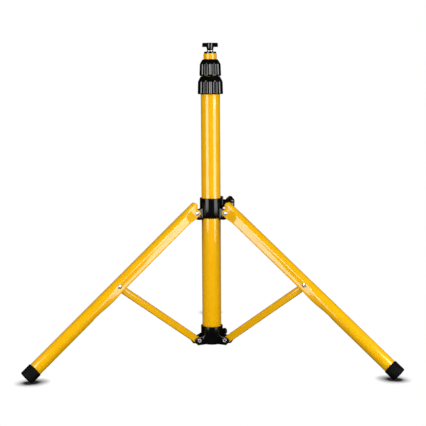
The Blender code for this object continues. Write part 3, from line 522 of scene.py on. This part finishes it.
def add_top_fitting():
    """The plug and thread insert in the inner tube's end, and the wing knob over them."""
    plug = [
        (11.4, 607.3),
        (12, 606.7),
        (12, 604.1),
        (11.2, 604.1),
        (11.2, 585.8),
        (6, 585.8),
        (6, 607.3),
    ]
    mesh = lathe(rounded(in_millimetres(plug), 0.4 * MM, closed=True), 96, closed=True)
    piece("top_plug_moulded", mesh, COLUMN, "black_plastic", "top_mast", "top_plug")
    insert = [(4.2, 609.3), (6.6, 609.3), (6.6, 607.6), (5.7, 607.6), (5.7, 586.8), (4.2, 586.8)]
    mesh = lathe(rounded(in_millimetres(insert), 0.4 * MM, closed=True), 64, closed=True)
    piece("top_insert_turned", mesh, COLUMN, "zinc_steel", "top_mast", "top_thread_insert")

    stem = [
        (0, 624.1),
        (3.2, 624.1),
        (4.2, 624.5),
        (6.8, 624.5),
        (7.5, 623.8),
        (7.2, 616.3),
        (6, 609.7),
        (0, 609.7),
    ]
    stem = lathe(rounded(in_millimetres(stem), 0.5 * MM), 64)
    upper = [*arc((13, 621.9), 2.5, 0, 90, 8), *arc((-13, 621.9), 2.5, 90, 180, 8)]
    lower = [*arc((-14.2, 617.6), 1.3, 180, 270, 4), *arc((14.2, 617.6), 1.3, 270, 360, 4)]
    wings = prism(in_millimetres(upper + lower), -3.8 * MM, 3.8 * MM, 0.7 * MM, 3)
    bore = rod(KNOB_BORE, 600 * MM, 622 * MM)
    knob = softened(cut(join(stem, wings), bore), 0.3 * MM)
    piece("top_wing_knob_moulded", knob, COLUMN, "black_plastic", "top_knob", "top_wing_knob")


# ---------------------------------------------------------------- hub and collar


def mirrored_plates(outline, inner, outer, bevel):
    """Two like plates, one on each side of the leg's plane."""
    return [
        prism(outline, -outer, -inner, bevel),
        prism(outline, inner, outer, bevel),
    ]


def knob_axis(height):
    """Turns what is made along Z onto the knobs' azimuth, at a height of the column."""
    turn = Matrix.Rotation(KNOB_AZIMUTH, 4, "Z") @ Matrix.Translation((0, 0, height))
    return turn @ Matrix.Rotation(math.radians(90), 4, "Y")


def add_hub():
    """The hub, with a pair of ears and a stop between them for each strut, and a screw's boss."""
    ring = [(22, 60.5), (22, 24.5), (15, 24.5), (15, 27.7), (19.3, 27.7), (19.3, 60.5)]
    ring = rounded(in_millimetres(ring), 0.8 * MM, closed=True)
    hub = lathe(ring, 128, closed=True)
    root = 20.5
    ear = [(root, 25), (38, 25), (43.4, 32), (43.2, 38), (37.5, 41), (29, 41.5), (root, 45)]
    ear = rounded(in_millimetres(ear), 2 * MM)
    stop = in_millimetres([(root, 25.1), (35.2, 25.2), (37.8, 27.2), (root, 27.2)])
    tools, holes = [], []
    for azimuth in LEG_AZIMUTHS.values():
        turn = Matrix.Rotation(azimuth, 4, "Z")
        for plate in mirrored_plates(ear, HUB_EAR_INNER, HUB_EAR_OUTER, 0.4 * MM):
            tools.append(moved(plate, turn))
        tools.append(moved(prism(stop, -8.2 * MM, 8.2 * MM), turn))
        hole = rod(RIVET_HOLE, -THROUGH_RIVETS, THROUGH_RIVETS, "Y")
        holes.append(moved(hole, turn @ Matrix.Translation((PIVOT_RADIUS, 0, HUB_PIVOT_Z))))
    turn = Matrix.Rotation(KNOB_AZIMUTH, 4, "Z") @ Matrix.Translation((0, 0, HUB_SCREW_Z))
    tools.append(moved(rod(4.6 * MM, 20.5 * MM, 27.2 * MM, "X"), turn))
    holes.append(moved(rod(3.1 * MM, 17 * MM, 30 * MM, "X"), turn))
    hub = softened(cut(join(hub, *tools), *holes), 0.25 * MM)
    piece("hub_moulded", hub, COLUMN, "black_plastic", "mast", "hub", look="satin_black_plastic")

    plug = [
        (0, 32),
        (15.5, 32),
        (15.5, 42),
        (17.5, 42),
        (17.5, 28.5),
        (14.6, 28.5),
        (14.6, 24.5),
        (5.2, 24.5),
        (4.6, 25.3),
        (0, 25.3),
    ]
    mesh = lathe(rounded(in_millimetres(plug), 0.6 * MM), 96)
    piece("base_plug_moulded", mesh, COLUMN, "matte_black_plastic", "mast", "base_plug")

    # A pan head with a hexagonal socket
    head = [(0, 33.5), (4.6, 33.5), (6.2, 32), (6.2, 27.5), (2.8, 27.5), (2.8, 19.3), (0, 19.3)]
    head = lathe(rounded(in_millimetres(head), 0.5 * MM), 64)
    socket = rod(2.9 * MM, 30.6 * MM, 36 * MM, segments=6)
    mesh = softened(cut(head, socket), 0.15 * MM)
    along = COLUMN @ knob_axis(HUB_SCREW_Z)
    piece("hub_screw_turned", mesh, along, "black_steel", "mast", "hub_screw")


def add_collar():
    """The collar, with a tongue for each leg and a padded boss for the clamp."""
    ring = [(22.5, 319.6), (22.5, 279.8), (19.4, 279.8), (19.4, 319.6)]
    ring = rounded(in_millimetres(ring), 0.8 * MM, closed=True)
    collar = lathe(ring, 128, closed=True)
    root = 21 * MM
    nose = arc((PIVOT_RADIUS, COLLAR_PIVOT_Z), TONGUE_RADIUS, -45, 110, 16)
    tongue = [(root, 277 * MM), (31 * MM, 277 * MM), *nose, (root, 300 * MM)]
    tools, holes = [], []
    for azimuth in LEG_AZIMUTHS.values():
        turn = Matrix.Rotation(azimuth, 4, "Z")
        plate = prism(tongue, -TONGUE_HALF_WIDTH, TONGUE_HALF_WIDTH, 0.5 * MM)
        tools.append(moved(plate, turn))
        hole = rod(RIVET_HOLE, -THROUGH_RIVETS, THROUGH_RIVETS, "Y")
        holes.append(moved(hole, turn @ Matrix.Translation((PIVOT_RADIUS, 0, COLLAR_PIVOT_Z))))
    turn = Matrix.Rotation(KNOB_AZIMUTH, 4, "Z")
    pad = block((20.3 * MM, -8 * MM, 298 * MM), (24.3 * MM, 8 * MM, 321.8 * MM), 1.2 * MM)
    boss = block((22 * MM, -6.8 * MM, 299.4 * MM), (38.5 * MM, 6.8 * MM, 313.8 * MM), 1.8 * MM)
    tools += [moved(pad, turn), moved(boss, turn)]
    turn = turn @ Matrix.Translation((0, 0, CLAMP_Z))
    holes.append(moved(rod(4.1 * MM, 17 * MM, 30 * MM, "X"), turn))
    holes.append(moved(rod(5.6 * MM, 27 * MM, 40 * MM, "X"), turn))
    collar = softened(cut(join(collar, *tools), *holes), 0.25 * MM)
    look = "satin_black_plastic"
    piece("leg_collar_moulded", collar, COLUMN, "black_plastic", "collar", "leg_collar", look=look)


def add_clamp_knob():
    """A lobed knob on the clamp screw, with a dished face."""
    profile = [
        (0, 48.2),
        (6.9, 48.2),
        (7.9, 49),
        (10.3, 49),
        (12.4, 48.2),
        (13.3, 46.6),
        (13.3, 42),
        (11.8, 40.6),
        (6.2, 40.6),
        (6, 38.8),
        (0, 38.8),
    ]
    ring = rounded(in_millimetres(profile), 0.8 * MM)

    def lobes(radius, height, angle):
        share = blend(8.1 * MM, 11.8 * MM, radius)
        return radius - LOBE_DEPTH * share * (0.5 - 0.5 * math.cos(LOBE_COUNT * angle))

    knob = lathe(divided(ring, 1.2 * MM), 144, swell=lobes)
    knob = cut(knob, rod(4.1 * MM, 30 * MM, 47.2 * MM))
    place = COLUMN @ knob_axis(CLAMP_Z)
    piece("clamp_knob_moulded", knob, place, "black_plastic", "collar_knob", "clamp_knob")


# ---------------------------------------------------------------- legs and struts


def leg_section(down, inset):
    """A ring of a leg's skin: round outside, square inside in the channel, round lower down."""
    widened = blend(WIDENING_START, WIDENING_END, down)
    run_out = min(max((down - ROUNDING_START) / (ROUNDING_END - ROUNDING_START), 0), 1)
    round_share = 1 - (1 - run_out) ** 3
    half = EAR_HALF_WIDTH + (CHANNEL_HALF_WIDTH - EAR_HALF_WIDTH) * widened
    half += (LEG_RADIUS - CHANNEL_HALF_WIDTH) * round_share
    centre = LEG_CROWN - half
    edge = -EAR_RADIUS + (EAR_RADIUS - CHANNEL_EDGE) * widened
    edge += (PIVOT_OFFSET - LEG_RADIUS + CHANNEL_EDGE) * round_share
    depth = centre - edge - inset
    half -= inset
    ring = []
    for index in range(SKIN_CORNERS):
        angle = FULL * index / SKIN_CORNERS
        x, y = math.cos(angle), math.sin(angle)
        if x < 0:
            # A superellipse, from nearly square in the channel to round in the tube
            power = 2 + 14 * (1 - round_share)
            size = (abs(x) ** power + abs(y) ** power) ** (1 / power)
            x *= depth / size
            y *= (half - x * CHANNEL_SPLAY * widened * (1 - round_share)) / size
        else:
            x *= half
            y *= half
        ring.append((centre + x, y, -down))
    return ring


def steps_between(start, end, count):
    return [start + (end - start) * step / count for step in range(count + 1)]


def leg_openings():
    """What is cut away from a leg: its channel's mouth, the gap between its ears, and their corners."""
    wide = CHANNEL_HALF_WIDTH - LEG_WALL - 0.4 * MM
    end = arc((0, CHANNEL_END_RADIUS - CHANNEL_END), CHANNEL_END_RADIUS, 190, 350, 21)
    slot = [(wide, -CHANNEL_START), (-wide, -CHANNEL_START), (-wide, -CHANNEL_TAPER)]
    slot = prism([*slot, *end, (wide, -CHANNEL_TAPER)], -PIVOT_OFFSET + 3 * MM, 2 * THROUGH_LEG)
    slot = moved(slot, Matrix.Rotation(math.radians(90), 4, "Z"))

    narrow, above = EAR_HALF_WIDTH - LEG_WALL - 0.05 * MM, LEG_TOP + 2 * MM
    throat = block((-2 * THROUGH_LEG, -narrow, -THROAT_END), (PIVOT_OFFSET, narrow, above))

    ear = arc((0, 0), EAR_RADIUS, 45, 180, 24)
    corner = [(-THROUGH_LEG, THROUGH_LEG), (12.5 * MM, THROUGH_LEG), (12.5 * MM, 11 * MM)]
    corner = prism([*corner, *ear, (-THROUGH_LEG, 0)], -THROUGH_LEG, THROUGH_LEG)

    centre, outside = (LEG_CROWN - 6 * MM, LEG_TOP - 6.5 * MM), LEG_CROWN + 5 * MM
    tip = [(centre[0], above), *arc(centre, TIP_RADIUS, 90, 0, 12)]
    tip = prism([*tip, (outside, centre[1]), (outside, above)], -THROUGH_LEG, THROUGH_LEG)
    return [slot, throat, corner, tip]


def add_leg(number, plane):
    """A leg with its ears round the collar's tongue, its two rivets and its foot."""
    body = f"leg_{number}"
    pivot = plane @ Matrix.Translation((PIVOT_RADIUS, 0, COLLAR_PIVOT_Z))
    place = pivot @ Matrix.Rotation(-LEG_ANGLE, 4, "Y")
    tube_end = LEG_LENGTH - FOOT_FLOOR - FOOT_GAP
    stations = [0]
    stations += [WIDENING_START + WIDENING_STEP * step for step in range(WIDENING_STATIONS)]
    stations += steps_between(ROUNDING_START, ROUNDING_END, ROUNDING_STEPS)
    skin = loft([leg_section(down, 0) for down in [-LEG_TOP, *stations, tube_end]])
    core = [-LEG_TOP - 2 * MM, *stations, tube_end + 2 * MM]
    core = loft([leg_section(down, LEG_WALL) for down in core])
    strut_rivet = Matrix.Translation(strut_point())
    holes = [rod(RIVET_HOLE, -THROUGH_LEG, THROUGH_LEG, "Y") for _ in range(2)]
    moved(holes[1], strut_rivet)
    leg = softened(cut(skin, core, *leg_openings(), *holes), 0.3 * MM, 2, 50)
    piece(f"leg_{number}_painted", leg, place, "yellow_paint", body, f"leg_tube_{number}")

    add_rivet(f"strut_rivet_{number}", CHANNEL_HALF_WIDTH, place @ strut_rivet, body)
    add_rivet(f"leg_pivot_rivet_{number}", EAR_HALF_WIDTH, pivot, "collar")
    add_foot(number, place, body)


def strut_point():
    """The strut's rivet in the leg's axes."""
    along = Vector((math.sin(LEG_ANGLE), 0, -math.cos(LEG_ANGLE)))
    out = Vector((math.cos(LEG_ANGLE), 0, math.sin(LEG_ANGLE)))
    offset = LINK * Vector((math.sin(SPREAD), 0, -math.cos(SPREAD)))
    return Vector((offset.dot(out), 0, -offset.dot(along)))


def add_foot(number, place, body):
    """A rubber cup with rounded edges, flattened on the floor."""
    bore = LEG_RADIUS + FOOT_GAP
    profile = [
        (0, FOOT_FLOOR),
        (bore, FOOT_FLOOR),
        (bore, FOOT_LENGTH),
        (FOOT_RADIUS, FOOT_LENGTH),
        (FOOT_RADIUS, 1.2 * MM),
        (FOOT_RADIUS - FOOT_EDGE, 0),
        (0, 0),
    ]
    foot = lathe(rounded(profile, 0.45 * MM), 96)
    foot = moved(foot, Matrix.Translation((PIVOT_OFFSET, 0, -LEG_LENGTH)))
    below_floor = block((-0.6, -0.6, -0.2), (0.6, 0.6, 0))
    foot = cut(foot, moved(below_floor, place.inverted()))
    piece(f"foot_cap_{number}_moulded", foot, place, "foot_rubber", body, f"foot_cap_{number}")


def add_rivet(node, half_width, place, body, domed=True):
    """A rivet across the leg's plane, with domed heads or the rolled heads of a tube."""
    under = half_width + 0.3 * MM
    top = under + 1.2 * MM
    if domed:
        head = [(0, 0.5), (0.9, 0.4), (1.6, 0.15), (2.6, -0.1), (3.6, -0.35), (4.2, -0.7), (4.4, -1.0)]
    else:
        head = [(1.7, -0.5), (2.2, 0), (3.4, 0), (4.4, -0.8)]
    outer = [(radius, top + height) for radius, height in in_millimetres(head)]
    outer += [(4.4 * MM, under), (3.2 * MM, under)]
    profile = outer + [(radius, -height) for radius, height in reversed(outer)]
    if not domed:
        profile = rounded(profile, TUBE_EDGE, closed=True)
    mesh = lathe(profile, 48, closed=not domed)
    mesh = moved(mesh, Matrix.Rotation(math.radians(90), 4, "X"))
    piece(f"{node}_rolled", mesh, place, "zinc_steel", body, node)


def strut_section(inset, drop, height):
    """A ring of a strut's skin: a U, open towards -X as far as drop."""
    crimped = blend(CRIMP_START, CRIMP_END, height)
    half = STRUT_HALF_WIDTH + (STRUT_EAR - STRUT_HALF_WIDTH) * crimped
    back = STRUT_RADIUS - half
    half -= inset
    crown = arc((back, 0), half, -90, 90, CROWN_STEPS)
    return [(x, y, height) for x, y in [(-drop, -half), *crown, (-drop, half)]]


def add_strut(number, plane):
    """A strut from the hub's rivet to the leg's, with rounded ends, and the hub's rivet."""
    pivot = plane @ Matrix.Translation((PIVOT_RADIUS, 0, HUB_PIVOT_Z))
    place = pivot @ Matrix.Rotation(SPREAD, 4, "Y") @ Matrix.Rotation(math.pi, 4, "Z")
    bends = steps_between(CRIMP_START, CRIMP_END, CRIMP_STEPS)
    heights = [-20 * MM, *bends, LINK + 20 * MM]
    skin = loft([strut_section(0, STRUT_RADIUS, height) for height in heights])
    heights = [-30 * MM, *bends, LINK + 30 * MM]
    core = loft([strut_section(STRUT_WALL, 20 * MM, height) for height in heights])
    beyond, neck = STRUT_RADIUS + 1 * MM, LINK - 3 * MM
    outline = [
        (beyond, neck),
        *arc((0, LINK), STRUT_EAR, 15, 165, 24),
        (-beyond, neck),
        (-beyond, 0),
        *arc((0, 0), STRUT_RADIUS, 190, 350, 24),
        (beyond, 0),
    ]
    strut = cut(skin, prism(outline, -THROUGH_LEG, THROUGH_LEG), operation="INTERSECT")
    holes = [rod(RIVET_HOLE, -THROUGH_LEG, THROUGH_LEG, "Y") for _ in range(2)]
    moved(holes[1], Matrix.Translation((0, 0, LINK)))
    strut = softened(cut(strut, core, *holes), 0.3 * MM, 2, 50)
    node = f"strut_{number}"
    piece(f"strut_{number}_painted", strut, place, "yellow_paint", node, node)
    add_rivet(f"hub_rivet_{number}", HUB_EAR_OUTER, pivot, "mast", domed=False)


def finish_inner_nodes():
    """The pieces hidden inside keep their CAD shape and take a finished surface."""
    slots = {row["node"]: row["material_slot"] for row in frame["record"]["subparts"]}
    for name, node in frame["nodes"].items():
        if node.hide_render:
            continue
        for place in node.material_slots:
            place.material = MATERIALS[slots[name]]


# ---------------------------------------------------------------- studio


def stage_material(name, dark, light):
    """A shadeless white which darkens only where something stands close to it: a painted contact shadow
    in its glow.
    """
    material = bpy.data.materials.new(name)
    material.use_nodes = True
    nodes, links = material.node_tree.nodes, material.node_tree.links
    shader = nodes["Principled BSDF"]
    shader.inputs["Base Color"].default_value = (0, 0, 0, 1)
    shader.inputs["Specular IOR Level"].default_value = 0.0
    shader.inputs["Emission Strength"].default_value = 1.0
    near = nodes.new("ShaderNodeAmbientOcclusion")
    near.samples = 32
    near.inputs["Distance"].default_value = CONTACT_SHADOW_REACH
    # Painted contact shadow: the glow runs from near black, where pieces crowd close, up to white
    ramp = nodes.new("ShaderNodeValToRGB")
    ramp.color_ramp.elements[0].position, ramp.color_ramp.elements[1].position = dark, light
    ramp.color_ramp.elements[0].color = (0.02, 0.02, 0.02, 1)
    ramp.color_ramp.elements[1].color = (1, 1, 1, 1)
    links.new(near.outputs["AO"], ramp.inputs["Fac"])
    links.new(ramp.outputs["Color"], shader.inputs["Emission Color"])
    return material


def add_stage(name, mesh, material):
    """A backdrop that only the camera sees: the lamps alone light the object."""
    mesh.materials.append(material)
    made = bpy.data.objects.new(name, mesh)
    bpy.context.scene.collection.objects.link(made)
    for kind in ("diffuse", "glossy", "transmission", "shadow"):
        setattr(made, f"visible_{kind}", False)


def facing(azimuth, distance, height):
    """A place at an azimuth from the camera's side, facing the column. Positive is its right."""
    angle = math.radians(azimuth)
    away = Vector((math.sin(angle), -math.cos(angle), 0))
    spot = COLUMN.translation + away * distance + Vector((0, 0, height))
    return Matrix.Translation(spot) @ (-away).to_track_quat("-Z", "Y").to_matrix().to_4x4()


def add_softbox(name, azimuth, distance, width, reflected):
    """A tall lamp, built of rows because it fades towards the floor."""
    rows = [(bottom, top, share, distance) for bottom, top, share in SOFTBOX_ROWS]
    rows.append((UPPER_BOTTOM, UPPER_TOP, 1.0, UPPER_DISTANCE))
    for row, (bottom, top, share, reach) in enumerate(rows):
        lamp = bpy.data.lights.new(f"{name}_{row}", "AREA")
        lamp.shape = "RECTANGLE"
        lamp.size, lamp.size_y = width * reach / distance, top - bottom
        lamp.energy = SOFTBOX_RADIANCE * share * math.pi * lamp.size * lamp.size_y
        made = bpy.data.objects.new(f"{name}_{row}", lamp)
        made.matrix_world = facing(azimuth, reach, (top + bottom) / 2)
        made.visible_glossy = reflected
        bpy.context.scene.collection.objects.link(made)


def add_studio():
    """Lamps and a little light from all round, over a floor that is as pale as the backdrop, save for
    painted contact shadows.
    """
    scene = bpy.context.scene
    scene.view_settings.view_transform = "Standard"
    world = bpy.data.worlds.new("studio")
    world.use_nodes = True
    world.node_tree.nodes["Background"].inputs["Color"].default_value = (1, 1, 1, 1)
    world.node_tree.nodes["Background"].inputs["Strength"].default_value = WORLD_FILL
    world.cycles_visibility.glossy = False
    scene.world = world
    for softbox in SOFTBOXES:
        add_softbox(*softbox)
    ground = bmesh.new()
    bmesh.ops.create_grid(ground, x_segments=1, y_segments=1, size=FLOOR_SIZE)
    # The floor glows white, with a painted contact shadow darkening it under what stands close
    add_stage("floor", mesh_from(ground), stage_material("pale_floor_painted_shadow", 0.5, 0.95))
    sky = bmesh.new()
    bmesh.ops.create_uvsphere(sky, u_segments=32, v_segments=16, radius=BACKDROP_RADIUS)
    add_stage("backdrop", mesh_from(sky), stage_material("pale_backdrop", 0.0, 0.01))


def add_camera():
    lens = bpy.data.cameras.new("camera")
    lens.lens = FOCAL_LENGTH
    lens.sensor_width = SENSOR_WIDTH
    made = bpy.data.objects.new("camera", lens)
    place = COLUMN @ Matrix.Translation(CAMERA_SPOT)
    for degrees, about in ((CAMERA_YAW, "Z"), (CAMERA_PITCH, "X"), (CAMERA_ROLL, "Z")):
        place = place @ Matrix.Rotation(math.radians(degrees), 4, about)
    made.matrix_world = place
    bpy.context.scene.collection.objects.link(made)
    bpy.context.scene.camera = made


MATERIALS = make_materials()
add_camera()
add_tubes()
add_nuts()
add_top_fitting()
add_hub()
add_collar()
add_clamp_knob()
for leg_number, leg_azimuth in LEG_AZIMUTHS.items():
    leg_plane = COLUMN @ Matrix.Rotation(leg_azimuth, 4, "Z")
    add_leg(leg_number, leg_plane)
    add_strut(leg_number, leg_plane)
finish_inner_nodes()
add_studio()
